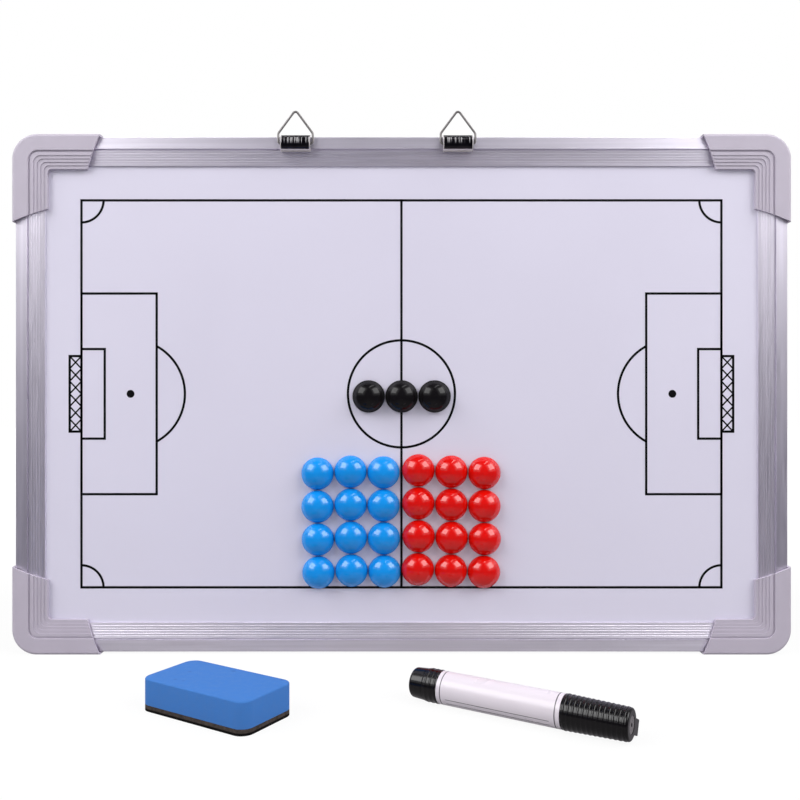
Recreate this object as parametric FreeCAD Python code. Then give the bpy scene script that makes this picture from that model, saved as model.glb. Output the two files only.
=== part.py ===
"""Football tactics board set: a framed magnetic board with its counters, wiping block and pen.

The board stands upright on its lower corners, and the block and the pen lie on the table before it.
Millimetres. +X runs to the right along the board, +Y away from the viewer and +Z up. The origin
is on the table, under the middle of the whole set.
"""
import FreeCAD
import Part
import math
import os

# Whole board, measured over the outer edges of the rails, and the depth of the whole set
BOARD_WIDTH = 450.0
BOARD_HEIGHT = 300.0
SET_DEPTH = 149.0
CUT_OVERRUN = 5.0

# Panel: lacquered steel writing sheet, fibre core and backing sheet
SHEET_THICKNESS = 0.5
CORE_THICKNESS = 7.0
BACKING_THICKNESS = 0.5
PANEL_EDGE_CLEARANCE = 0.5
PANEL_BACK_CLEARANCE = 0.2

# Extruded rail: outer band, groove for the hangers, ribbed slope down to the writing face
RAIL_FACE = 16.7
RAIL_WALL = 1.2
CHAMBER_WIDTH = 6.3
BACK_FLANGE = 6.3
BAND_WIDTH = 7.2
BAND_HEIGHT = 3.2
BAND_FALL = 1.2
BAND_EDGE_RADIUS = 0.8
GROOVE_WIDTH = 1.0
GROOVE_DEPTH = 1.0
RIB_TOP = 3.0
LIP_HEIGHT = 1.0
RIB_COUNT = 5
NOTCH_WIDTH = 0.45
NOTCH_DEPTH = 0.2
RAIL_END_GAP = 0.5

# Moulded corner that wraps round the rail ends
CORNER_WALL = 1.0
CORNER_FRONT_WALL = 1.3
CORNER_BACK_WALL = 2.2
CORNER_CLEARANCE = 0.2
CORNER_REACH = 51.0
CORNER_RADIUS = 14.5
CORNER_EDGE_RADIUS = 1.6
CORNER_BAND_WIDTH = 9.6
CORNER_GROOVE_WIDTH = 1.0
CORNER_GROOVE_DEPTH = 0.9
CORNER_GROOVE_RADIUS = 4.6
CORNER_RIB_COUNT = 5
CORNER_INNER_RADIUS = 2.6
CORNER_LIP_WIDTH = 2.0
CORNER_SLANT_SHARE = 0.4
HOLLOW_STEP_COUNT = 4

# Plug inside each corner, and the screws that hold the corner to it
PLUG_REACH = 28.0
PLUG_CLEARANCE = 0.15
PLUG_INNER_RADIUS = 1.5
SCREW_PLACE = 16.0
SCREW_SHANK_RADIUS = 1.2
SCREW_SHANK_LENGTH = 7.5
SCREW_HEAD_RADIUS = 2.5
SCREW_HEAD_HEIGHT = 1.2
SCREW_CLEARANCE = 0.1
SCREW_RECESS_GAP = 0.3
DRIVE_LENGTH = 3.2
DRIVE_WIDTH = 0.7
DRIVE_DEPTH = 0.6

# Sprung clips that slide along the top rail, each with a wire hanging ring
CLIP_WIDTH = 17.3
CLIP_SHEET = 0.5
CLIP_CLEARANCE = 0.3
CLIP_BROW = 0.6
CLIP_ARCH_HEIGHT = 4.2
CLIP_ARCH_PAST_GROOVE = 0.9
CLIP_FLANGE = 0.5
CLIP_ROUND_SHARE = 0.9
CLIP_BEND_RADIUS = 1.0
CLIP_BACK_LENGTH = 7.0
CLIP_CENTRES = {"left": -61.5, "right": 32.7}
RING_WIRE_RADIUS = 0.65
RING_SIDE_GAP = 0.7
RING_SIDE_HEIGHT = 5.9
RING_APEX_HEIGHT = 19.4
RING_LIFT = 1.0
RING_FOOT_RADIUS = 1.4
RING_BEND_RADIUS = 2.2
RING_APEX_RADIUS = 1.6

# Round domed counters, each with a magnet pressed into its base
COUNTER_DIAMETER = 18.9
COUNTER_HEIGHT = 8.0
COUNTER_SKIRT = 1.2
COUNTER_RIM_RADIUS = 0.4
COUNTER_GAP = 0.35
MAGNET_DIAMETER = 13.0
MAGNET_THICKNESS = 4.0
MAGNET_CLEARANCE = 0.1
TEAM_GAP = 1.5
TEAMS_SIDE_PLACE = -0.4
BLUE_FOOT_GAP = 19.8
RED_FOOT_GAP = 21.7
BLACK_DROP = 1.2
TEAM_ROWS = 4
TEAM_COLUMNS = 3
BLUE_ROW_SHIFT_SHARES = (0.0, 0.0, 0.01, 0.03)
BLUE_COLUMN_LIFT_SHARES = (0.0, 0.06, 0.035)
RED_ROW_SHIFT_SHARES = (0.0, 0.0, 0.01, -0.015)
RED_COLUMN_LIFT_SHARES = (0.0, -0.04, -0.08)

# Wiping block: foam body on a felt pad
BLOCK_LENGTH = 66.2
BLOCK_WIDTH = 35.0
FOAM_HEIGHT = 12.2
FELT_HEIGHT = 3.0
BLOCK_CORNER_RADIUS = 6.0
BLOCK_EDGE_RADIUS = 0.6
BLOCK_SIDE_PLACE = -88.0
BLOCK_AHEAD = 93.2
BLOCK_TURN_DEG = -31.7

# Pen: barrel with a wrapped label, rear plug, nib holder, nib, ink rod and pull-off cap
PEN_SIDE_PLACE = 6.5
PEN_TURN_DEG = -31.2
REAR_PLUG_LENGTH = 7.5
REAR_PLUG_RADIUS = 7.6
REAR_PLUG_END_RADIUS = 7.1
REAR_PLUG_ROUND = 1.6
REAR_SPIGOT_LENGTH = 7.0
REAR_GRIP_LENGTH = 8.3
BARREL_RADIUS = 7.45
BARREL_EDGE_ROUND = 0.8
BARREL_BORE_RADIUS = 5.3
LABEL_LENGTH = 62.0
LABEL_THICKNESS = 0.35
LABEL_CLEARANCE = 0.05
FRONT_SPIGOT_LENGTH = 10.0
FRONT_SPIGOT_RADIUS = 6.2
PEN_FIT_CLEARANCE = 0.15
HOLDER_LENGTH = 9.0
HOLDER_TIP_RADIUS = 3.2
HOLDER_SPIGOT_LENGTH = 5.0
NIB_RADIUS = 2.2
NIB_STAND_OUT = 5.0
NIB_BACK_LENGTH = 3.0
CAP_LENGTH = 30.0
CAP_RADIUS = 7.9
CAP_END_RADIUS = 7.15
CAP_END_WALL = 2.4
CAP_MOUTH_GAP = 0.3
CAP_DISC_RADIUS = 4.1
CAP_DISC_DEPTH = 0.2
CAP_MARK_RADIUS = 0.85
CAP_MARK_DEPTH = 0.4
CAP_EDGE_ROUND = 1.0
POCKET_CLIP_LENGTH = 24.0
POCKET_CLIP_WIDTH = 7.0
POCKET_CLIP_THICKNESS = 1.7
POCKET_CLIP_EDGE_RADIUS = 0.6
POCKET_CLIP_GAP = 0.8
POCKET_CLIP_ROOT = 4.0
POCKET_CLIP_BEAD = 0.5
POCKET_CLIP_TURN_DEG = -25.0
CAP_RIB_COUNT = 13
REAR_RIB_COUNT = 3
PEN_RIB_HEIGHT = 0.2
PEN_RIB_ROOT = 0.6
PEN_RIB_WIDTH = 1.5
PEN_RIB_ROUND = 0.6

# Places that follow from the sizes above
V = FreeCAD.Vector
OVERHANG = CORNER_WALL + CORNER_CLEARANCE
CENTRE_Z = BOARD_HEIGHT / 2 + OVERHANG
PANEL_THICKNESS = SHEET_THICKNESS + CORE_THICKNESS + BACKING_THICKNESS
CHAMBER_LOW = -(PANEL_THICKNESS + PANEL_BACK_CLEARANCE)
RAIL_BACK = CHAMBER_LOW - RAIL_WALL
CORNER_BACK = RAIL_BACK - CORNER_CLEARANCE - CORNER_BACK_WALL
FACE_Y = SET_DEPTH / 2 + CORNER_BACK
SLOT_FLOOR = CHAMBER_WIDTH + 2 * RAIL_WALL
CHAMBER_HIGH = BAND_HEIGHT - GROOVE_DEPTH - RAIL_WALL
RAIL_SETBACK = RAIL_FACE + RAIL_END_GAP
SLOPE_START = BAND_WIDTH + GROOVE_WIDTH
CORNER_BAND_TOP = BAND_HEIGHT + CORNER_CLEARANCE + CORNER_FRONT_WALL
CORNER_RIB_START = CORNER_BAND_WIDTH + CORNER_GROOVE_WIDTH
CORNER_WIDTH = OVERHANG + RAIL_FACE + CORNER_LIP_WIDTH
CORNER_X = -BOARD_WIDTH / 2 - OVERHANG
CORNERS = {
    "lower_left": (False, False),
    "lower_right": (True, False),
    "upper_left": (False, True),
    "upper_right": (True, True),
}


def rounded_edges(corners):
    """The edges of a closed loop through (point, radius) corners, each rounded by its radius."""
    count = len(corners)
    starts, arcs, ends = [], [], []
    for i, (point, radius) in enumerate(corners):
        back = (corners[i - 1][0] - point).normalize()
        ahead = (corners[(i + 1) % count][0] - point).normalize()
        if radius == 0:
            starts.append(point)
            arcs.append(None)
            ends.append(point)
            continue
        half = back.getAngle(ahead) / 2
        tangent = radius / math.tan(half)
        middle = (back + ahead).normalize()
        nearest = point + middle * (radius / math.sin(half) - radius)
        starts.append(point + back * tangent)
        ends.append(point + ahead * tangent)
        arcs.append(Part.Arc(starts[i], nearest, ends[i]).toShape())
    edges = []
    for i in range(count):
        if arcs[i] is not None:
            edges.append(arcs[i])
        edges.append(Part.LineSegment(ends[i], starts[(i + 1) % count]).toShape())
    return edges


def rounded_face(corners):
    """A flat face inside the rounded loop through the corners."""
    return Part.Face(Part.Wire(rounded_edges(corners)))


def turned(profile):
    """A solid turned about Z from (radius, height) corners, each with its rounding radius."""
    corners = [(V(radius, 0, height), rounding) for radius, height, rounding in profile]
    return rounded_face(corners).revolve(V(0, 0, 0), V(0, 0, 1), 360)


def mirrored(shape, right, upper):
    """A lower left shape carried to another corner of the board."""
    if right:
        shape = shape.mirror(V(0, 0, 0), V(1, 0, 0))
    if upper:
        shape = shape.mirror(V(0, 0, CENTRE_Z), V(0, 0, 1))
    return shape


def save(name, shape):
    """Writes one named piece to its own file."""
    shape.exportStep(os.path.join("parts", name + ".step"))


def panel_layer(front, thickness):
    """One layer of the panel, whose front lies that far behind the writing face."""
    width = BOARD_WIDTH - 2 * (SLOT_FLOOR + PANEL_EDGE_CLEARANCE)
    height = BOARD_HEIGHT - 2 * (SLOT_FLOOR + PANEL_EDGE_CLEARANCE)
    corner = V(-width / 2, FACE_Y + front, CENTRE_Z - height / 2)
    return Part.makeBox(width, thickness, height, corner)


def make_panel():
    save("writing_sheet", panel_layer(0, SHEET_THICKNESS))
    save("panel_core", panel_layer(SHEET_THICKNESS, CORE_THICKNESS))
    save("backing_sheet", panel_layer(SHEET_THICKNESS + CORE_THICKNESS, BACKING_THICKNESS))


def slope_height(across):
    """Height of the rail's ribbed slope above the writing face, that far in from the rail's edge."""
    return RIB_TOP - (RIB_TOP - LIP_HEIGHT) * (across - SLOPE_START) / (RAIL_FACE - SLOPE_START)


def rail_outline():
    """Corners of the rail's section: (in from the outer edge, height above the face, rounding)."""
    slope_step = (RAIL_FACE - SLOPE_START) / (RIB_COUNT + 1)
    outline = [
        (0, RAIL_BACK, 0),
        (0, BAND_HEIGHT - BAND_FALL, BAND_EDGE_RADIUS),
        (BAND_WIDTH, BAND_HEIGHT, 0),
        (BAND_WIDTH, BAND_HEIGHT - GROOVE_DEPTH, 0),
        (SLOPE_START, BAND_HEIGHT - GROOVE_DEPTH, 0),
        (SLOPE_START, RIB_TOP, 0),
    ]
    for i in range(1, RIB_COUNT + 1):
        across = SLOPE_START + slope_step * i
        for side, depth in ((-NOTCH_WIDTH / 2, 0), (0, NOTCH_DEPTH), (NOTCH_WIDTH / 2, 0)):
            outline.append((across + side, slope_height(across + side) - depth, 0))
    outline += [
        (RAIL_FACE, LIP_HEIGHT, 0),
        (RAIL_FACE, 0, 0),
        (SLOT_FLOOR, 0, 0),
        (SLOT_FLOOR, CHAMBER_LOW, 0),
        (SLOT_FLOOR + BACK_FLANGE, CHAMBER_LOW, 0),
        (SLOT_FLOOR + BACK_FLANGE, RAIL_BACK, 0),
    ]
    return outline


def chamber_outline():
    """Corners of the hollow chamber along the rail."""
    far = RAIL_WALL + CHAMBER_WIDTH
    return [
        (RAIL_WALL, CHAMBER_LOW, 0),
        (RAIL_WALL, CHAMBER_HIGH, 0),
        (far, CHAMBER_HIGH, 0),
        (far, CHAMBER_LOW, 0),
    ]


def lower_rail():
    start = -BOARD_WIDTH / 2 + RAIL_SETBACK

    def section(outline):
        return rounded_face([(V(start, FACE_Y - h, OVERHANG + u), r) for u, h, r in outline])

    length = V(BOARD_WIDTH - 2 * RAIL_SETBACK, 0, 0)
    return section(rail_outline()).extrude(length).cut(section(chamber_outline()).extrude(length))


def left_rail():
    start = OVERHANG + RAIL_SETBACK

    def section(outline):
        left = -BOARD_WIDTH / 2
        return rounded_face([(V(left + u, FACE_Y - h, start), r) for u, h, r in outline])

    length = V(0, 0, BOARD_HEIGHT - 2 * RAIL_SETBACK)
    return section(rail_outline()).extrude(length).cut(section(chamber_outline()).extrude(length))


def corner_slab(inset, width, reach, outer_radius, inner_radius, slant_share, low, high):
    """An L-shaped slab in the lower left corner, between two heights above the writing face.

    inset and width are measured in from the moulded corner's own outer edges.
    """
    y = FACE_Y - low
    end = reach - slant_share * width
    outline = [
        (inset, reach, 0),
        (inset, inset, outer_radius),
        (reach, inset, 0),
        (end, width, 0),
        (width, width, inner_radius),
        (width, end, 0),
    ]
    corners = [(V(CORNER_X + x, y, z), radius) for x, z, radius in outline]
    return rounded_face(corners).extrude(V(0, low - high, 0))


def on_outer_edge(edge):
    """Whether an edge of a corner slab runs round the outside of the board."""
    middle = edge.valueAt((edge.FirstParameter + edge.LastParameter) / 2)
    across = middle - V(CORNER_X + CORNER_RADIUS, 0, CORNER_RADIUS)
    along_y = abs(edge.tangentAt(edge.FirstParameter).y) > math.cos(math.pi / 4)
    near_side = min(middle.x - CORNER_X, middle.z) < CORNER_EDGE_RADIUS / 2
    on_bend = across.x < 0 and across.z < 0
    at_end = max(middle.x - CORNER_X, middle.z) > CORNER_REACH - CORNER_EDGE_RADIUS / 2
    return not along_y and not at_end and (near_side or on_bend)


def corner_steps():
    """Each step of the moulded corner: (its inner edge, its top, the rounding of its inner bend)."""
    steps = [(CORNER_RIB_START, CORNER_BAND_TOP, CORNER_GROOVE_RADIUS)]
    pitch = (CORNER_WIDTH - CORNER_RIB_START) / CORNER_RIB_COUNT
    for i in range(CORNER_RIB_COUNT):
        outer = CORNER_RIB_START + pitch * i
        top = slope_height(outer - OVERHANG) + CORNER_CLEARANCE + CORNER_FRONT_WALL
        share = (i + 1) / CORNER_RIB_COUNT
        bend = CORNER_GROOVE_RADIUS + (CORNER_INNER_RADIUS - CORNER_GROOVE_RADIUS) * share
        steps.append((outer + pitch, top, bend))
    return steps


def hollow_steps():
    """The hollow behind the corner, which follows the rail: (its inner edge, its ceiling)."""
    first = OVERHANG + SLOPE_START
    steps = [(first, BAND_HEIGHT + CORNER_CLEARANCE)]
    pitch = (RAIL_FACE + CORNER_CLEARANCE - SLOPE_START) / HOLLOW_STEP_COUNT
    for i in range(HOLLOW_STEP_COUNT):
        ceiling = slope_height(SLOPE_START + pitch * i) + CORNER_CLEARANCE
        steps.append((first + pitch * (i + 1), ceiling))
    return steps


def screw_axes():
    """The two screw places in the lower left corner, on the rails' back."""
    across = OVERHANG + RAIL_WALL + CHAMBER_WIDTH / 2
    along = OVERHANG + RAIL_SETBACK + SCREW_PLACE
    return [V(CORNER_X + along, 0, across), V(CORNER_X + across, 0, along)]


def round_bars(radius, low, high):
    """Round bars along Y at the screw places, between two heights above the writing face."""
    towards_front = V(0, -1, 0)
    bars = []
    for axis in screw_axes():
        foot = V(axis.x, FACE_Y - low, axis.z)
        bars.append(Part.makeCylinder(radius, high - low, foot, towards_front))
    return bars


def screw_bore(radius):
    """Clearance holes for the screws, from behind the corner up into the plug."""
    tip = CORNER_BACK + SCREW_RECESS_GAP + SCREW_HEAD_HEIGHT + SCREW_SHANK_LENGTH + SCREW_CLEARANCE
    return round_bars(radius, CORNER_BACK - CUT_OVERRUN, tip)


def corner_groove():
    """The groove that runs round the corner between its outer band and its ribs."""
    return corner_slab(
        CORNER_BAND_WIDTH,
        CORNER_RIB_START,
        CORNER_REACH + CUT_OVERRUN,
        CORNER_GROOVE_RADIUS + CORNER_GROOVE_WIDTH,
        CORNER_GROOVE_RADIUS,
        0,
        CORNER_BAND_TOP - CORNER_GROOVE_DEPTH,
        CORNER_BAND_TOP + CUT_OVERRUN,
    )


def corner_hollow():
    """What the rail ends and the panel's corner take out of a moulded corner."""
    radius = CORNER_RADIUS - CORNER_WALL
    reach = CORNER_REACH + CUT_OVERRUN
    floor = RAIL_BACK - CORNER_CLEARANCE
    panel_way = (CORNER_WIDTH + CUT_OVERRUN, 0)
    hollow = []
    for edge, ceiling in hollow_steps() + [panel_way]:
        hollow.append(corner_slab(CORNER_WALL, edge, reach, radius, 0, 0, floor, ceiling))
    return hollow


def moulded_corner():
    """The lower left corner: a stepped L-shaped cover, hollow behind and open to the panel."""
    cover = None
    for edge, top, bend in corner_steps():
        slab = corner_slab(
            0, edge, CORNER_REACH, CORNER_RADIUS, bend, CORNER_SLANT_SHARE, CORNER_BACK, top
        )
        if cover is None:
            band = slab.makeFillet(CORNER_EDGE_RADIUS, [e for e in slab.Edges if on_outer_edge(e)])
            cover = band
        else:
            cover = cover.fuse(trimmed_to_outside(slab, band, top))
    recess = SCREW_RECESS_GAP + SCREW_HEAD_HEIGHT + SCREW_CLEARANCE
    head_holes = round_bars(
        SCREW_HEAD_RADIUS + SCREW_CLEARANCE, CORNER_BACK - CUT_OVERRUN, CORNER_BACK + recess
    )
    shank_holes = screw_bore(SCREW_SHANK_RADIUS + SCREW_CLEARANCE)
    cuts = [corner_groove()] + corner_hollow() + head_holes + shank_holes
    return cover.cut(cuts).removeSplitter()


def trimmed_to_outside(slab, rounded_slab, top):
    """A lower step without the part that the rounded outer band already holds."""
    half = CORNER_EDGE_RADIUS
    inner = corner_slab(
        half, CORNER_REACH, CORNER_REACH + CUT_OVERRUN, CORNER_RADIUS - half, 0, 0, CORNER_BACK, top
    )
    return slab.common(inner).cut(rounded_slab)


def corner_plug():
    """The L-shaped plug that joins two rail ends inside a corner."""
    inset = OVERHANG + RAIL_WALL + PLUG_CLEARANCE
    width = OVERHANG + RAIL_WALL + CHAMBER_WIDTH - PLUG_CLEARANCE
    reach = OVERHANG + RAIL_SETBACK + PLUG_REACH
    low = CHAMBER_LOW + PLUG_CLEARANCE
    high = CHAMBER_HIGH - PLUG_CLEARANCE
    outer_radius = CORNER_RADIUS - inset
    plug = corner_slab(inset, width, reach, outer_radius, PLUG_INNER_RADIUS, 0, low, high)
    return plug.cut(screw_bore(SCREW_SHANK_RADIUS + SCREW_CLEARANCE))


def corner_screws():
    """The two slotted screws of the lower left corner, their heads sunk below its back."""
    head_low = CORNER_BACK + SCREW_RECESS_GAP
    head_high = head_low + SCREW_HEAD_HEIGHT
    heads = round_bars(SCREW_HEAD_RADIUS, head_low, head_high)
    shanks = round_bars(SCREW_SHANK_RADIUS, head_high, head_high + SCREW_SHANK_LENGTH)
    screws = []
    for head, shank, axis in zip(heads, shanks, screw_axes()):
        slot_place = V(axis.x - DRIVE_LENGTH / 2, FACE_Y - head_low - DRIVE_DEPTH, axis.z - DRIVE_WIDTH / 2)
        slot = Part.makeBox(DRIVE_LENGTH, DRIVE_DEPTH + CUT_OVERRUN, DRIVE_WIDTH, slot_place)
        screws.append(head.fuse(shank).cut(slot).removeSplitter())
    return screws


def make_frame():
    bore = screw_bore(SCREW_SHANK_RADIUS + SCREW_CLEARANCE)
    low_bore = bore + [mirrored(hole, True, False) for hole in bore]
    side_bore = bore + [mirrored(hole, False, True) for hole in bore]
    lower = lower_rail().cut(low_bore)
    left = left_rail().cut(side_bore)
    save("lower_rail", lower)
    save("upper_rail", mirrored(lower, False, True))
    save("left_rail", left)
    save("right_rail", mirrored(left, True, False))
    corner = moulded_corner()
    plug = corner_plug()
    screws = corner_screws()
    all_screws = []
    for name, sides in CORNERS.items():
        save(name + "_corner", mirrored(corner, *sides))
        save(name + "_plug", mirrored(plug, *sides))
        all_screws += [mirrored(screw, *sides) for screw in screws]
    save("corner_screws", Part.makeCompound(all_screws))


def groove_middle():
    """How far the middle of the rail's groove lies below the rail's top edge."""
    return BAND_WIDTH + GROOVE_WIDTH / 2


def arch_end():
    """How far the lower end of a clip's arch lies below the rail's top edge."""
    return groove_middle() + CLIP_ARCH_PAST_GROOVE


def arch_down():
    """How far the middle of a clip's arch lies below the rail's top edge."""
    return (CLIP_BROW + arch_end()) / 2


def arch_base():
    """Height of a clip's arch foot above the writing face."""
    return BAND_HEIGHT + CLIP_CLEARANCE


def hanger_clip(middle):
    """A bent sheet clip: a leg down the back, an arch over the ring's bar, and a hook in the groove."""
    base = arch_base()
    crest = base + CLIP_ARCH_HEIGHT
    end = arch_end()
    brow = BAND_HEIGHT - BAND_FALL / 2 + CLIP_CLEARANCE
    back = RAIL_BACK - CLIP_CLEARANCE
    over = -CLIP_CLEARANCE
    bend = CLIP_BEND_RADIUS
    arch_round = CLIP_ROUND_SHARE * min((end - CLIP_BROW) / 2, CLIP_ARCH_HEIGHT - CLIP_SHEET)
    hook_near = groove_middle() - CLIP_SHEET / 2
    hook_far = groove_middle() + CLIP_SHEET / 2
    section = [
        (CLIP_BACK_LENGTH, back - CLIP_SHEET, 0),
        (over - CLIP_SHEET, back - CLIP_SHEET, bend),
        (over - CLIP_SHEET, brow + CLIP_SHEET, bend),
        (CLIP_BROW, brow + CLIP_SHEET, 0),
        (CLIP_BROW, crest, arch_round),
        (end, crest, arch_round),
        (end, base + CLIP_SHEET, 0),
        (end + CLIP_FLANGE, base + CLIP_SHEET, 0),
        (end + CLIP_FLANGE, base, 0),
        (hook_far, base, 0),
        (hook_far, base - GROOVE_DEPTH, 0),
        (hook_near, base - GROOVE_DEPTH, 0),
        (hook_near, base + CLIP_SHEET, 0),
        (end - CLIP_SHEET, base + CLIP_SHEET, 0),
        (end - CLIP_SHEET, crest - CLIP_SHEET, arch_round - CLIP_SHEET),
        (CLIP_BROW + CLIP_SHEET, crest - CLIP_SHEET, arch_round - CLIP_SHEET),
        (CLIP_BROW + CLIP_SHEET, brow, 0),
        (over, brow, bend - CLIP_SHEET),
        (over, back, bend - CLIP_SHEET),
        (CLIP_BACK_LENGTH, back, 0),
    ]
    top = OVERHANG + BOARD_HEIGHT
    side = middle - CLIP_WIDTH / 2
    corners = [(V(side, FACE_Y - height, top - down), radius) for down, height, radius in section]
    return rounded_face(corners).extrude(V(CLIP_WIDTH, 0, 0))


def hanger_ring(middle):
    """A bent wire ring that stands up from the clip, its bar turning under the arch."""
    half = CLIP_WIDTH / 2 + RING_SIDE_GAP + RING_WIRE_RADIUS
    y = FACE_Y - arch_base() - RING_LIFT
    foot = OVERHANG + BOARD_HEIGHT - arch_down()
    outline = [
        (-half, 0, RING_FOOT_RADIUS),
        (half, 0, RING_FOOT_RADIUS),
        (half, RING_SIDE_HEIGHT, RING_BEND_RADIUS),
        (0, RING_APEX_HEIGHT, RING_APEX_RADIUS),
        (-half, RING_SIDE_HEIGHT, RING_BEND_RADIUS),
    ]
    corners = [(V(middle + x, y, foot + z), radius) for x, z, radius in outline]
    path = Part.Wire(rounded_edges(corners))
    first = path.Edges[0]
    start = first.valueAt(first.FirstParameter)
    wire = Part.makeCircle(RING_WIRE_RADIUS, start, first.tangentAt(first.FirstParameter))
    return path.makePipeShell([Part.Wire([wire])], True, True)


def make_hangers():
    for side, middle in CLIP_CENTRES.items():
        save(side + "_hanger_clip", hanger_clip(middle))
        save(side + "_hanger_ring", hanger_ring(middle))


def counter():
    """A domed counter and the magnet in its base, with its base on the origin and its top up Z."""
    radius = COUNTER_DIAMETER / 2
    rise = COUNTER_HEIGHT - COUNTER_SKIRT
    ball = (radius ** 2 + rise ** 2) / (2 * rise)
    skirt = Part.makeCylinder(radius, COUNTER_HEIGHT)
    dome = Part.makeSphere(ball, V(0, 0, COUNTER_HEIGHT - ball))
    rim = [edge for edge in skirt.Edges if edge.BoundBox.ZMax < COUNTER_SKIRT and edge.Closed]
    body = skirt.makeFillet(COUNTER_RIM_RADIUS, rim).common(dome)
    seat = Part.makeCylinder(MAGNET_DIAMETER / 2 + MAGNET_CLEARANCE, MAGNET_THICKNESS + MAGNET_CLEARANCE)
    magnet = Part.makeCylinder(MAGNET_DIAMETER / 2, MAGNET_THICKNESS)
    return Part.makeCompound([body.cut(seat), magnet])


def place_counter(name, shape, side, drop):
    """Lays a counter on the writing face, measured from the middle of the board."""
    placed = shape.copy()
    placed.rotate(V(0, 0, 0), V(1, 0, 0), 90)
    placed.translate(V(side, FACE_Y, CENTRE_Z - drop))
    save(name, placed)


def make_team(colour, side_sign, foot_gap, row_shift_shares, column_lift_shares):
    """One team's block of counters, beside the other team and that far above the lower rail."""
    pitch = COUNTER_DIAMETER + COUNTER_GAP
    foot_drop = BOARD_HEIGHT / 2 - RAIL_FACE - foot_gap - COUNTER_DIAMETER / 2
    top_drop = foot_drop - pitch * (TEAM_ROWS - 1)
    team_width = COUNTER_DIAMETER + pitch * (TEAM_COLUMNS - 1)
    middle = TEAMS_SIDE_PLACE + side_sign * (TEAM_GAP + team_width) / 2
    shape = counter()
    for row in range(TEAM_ROWS):
        for column in range(TEAM_COLUMNS):
            side = middle + pitch * (column - (TEAM_COLUMNS - 1) / 2 + row_shift_shares[row])
            drop = top_drop + pitch * (row - column_lift_shares[column])
            name = f"{colour}_counter_{row * TEAM_COLUMNS + column + 1:02d}"
            place_counter(name, shape, side, drop)


def make_counters():
    make_team("blue", -1, BLUE_FOOT_GAP, BLUE_ROW_SHIFT_SHARES, BLUE_COLUMN_LIFT_SHARES)
    make_team("red", 1, RED_FOOT_GAP, RED_ROW_SHIFT_SHARES, RED_COLUMN_LIFT_SHARES)
    pitch = COUNTER_DIAMETER + COUNTER_GAP
    for column in range(TEAM_COLUMNS):
        side = pitch * (column - (TEAM_COLUMNS - 1) / 2)
        place_counter(f"black_counter_{column + 1:02d}", counter(), side, BLACK_DROP)


def block_layer(low, height):
    """One layer of the wiping block, lying on the table before the board."""
    half_length = BLOCK_LENGTH / 2
    half_width = BLOCK_WIDTH / 2
    signs = ((-1, -1), (1, -1), (1, 1), (-1, 1))
    corners = [(V(half_length * i, half_width * j, low), BLOCK_CORNER_RADIUS) for i, j in signs]
    layer = rounded_face(corners).extrude(V(0, 0, height))
    layer.rotate(V(0, 0, 0), V(0, 0, 1), BLOCK_TURN_DEG)
    layer.translate(V(BLOCK_SIDE_PLACE, FACE_Y - BLOCK_AHEAD, 0))
    return layer


def make_block():
    foam = block_layer(FELT_HEIGHT, FOAM_HEIGHT)
    top = FELT_HEIGHT + FOAM_HEIGHT
    rim = [edge for edge in foam.Edges if edge.BoundBox.ZMin > top - BLOCK_EDGE_RADIUS]
    save("eraser_foam", foam.makeFillet(BLOCK_EDGE_RADIUS, rim))
    save("eraser_felt", block_layer(0, FELT_HEIGHT))


def label_start():
    return REAR_PLUG_LENGTH + REAR_GRIP_LENGTH


def shoulder():
    """Where the barrel steps down to the spigot that the cap pushes over."""
    return label_start() + LABEL_LENGTH


def pen_length():
    return shoulder() + CAP_MOUTH_GAP + CAP_LENGTH


def lay_pen(shape):
    """Lays a pen piece, made along Z from the pen's rear end, on the table with its cap outwards."""
    turn = math.radians(-PEN_TURN_DEG)
    rear_y = -SET_DEPTH / 2 + pen_length() * math.sin(turn) + CAP_END_RADIUS * math.cos(turn)
    laid = shape.copy()
    laid.rotate(V(0, 0, 0), V(0, 1, 0), 90)
    laid.rotate(V(0, 0, 0), V(0, 0, 1), PEN_TURN_DEG)
    laid.translate(V(PEN_SIDE_PLACE, rear_y, CAP_RADIUS + PEN_RIB_HEIGHT))
    return laid


def ring_ribs(first, last, count, first_radius, last_radius):
    """Raised rounded rings round a turned piece, spread evenly between two places along it."""
    step = (last - first) / count
    ribs = []
    for i in range(count):
        share = (i + 1 / 2) / count
        radius = first_radius + (last_radius - first_radius) * share
        low = first + step * (i + 1 / 2) - PEN_RIB_WIDTH / 2
        high = low + PEN_RIB_WIDTH
        ribs.append(turned([
            (radius - PEN_RIB_ROOT, low, 0),
            (radius + PEN_RIB_HEIGHT, low, PEN_RIB_ROUND),
            (radius + PEN_RIB_HEIGHT, high, PEN_RIB_ROUND),
            (radius - PEN_RIB_ROOT, high, 0),
        ]))
    return ribs


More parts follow.
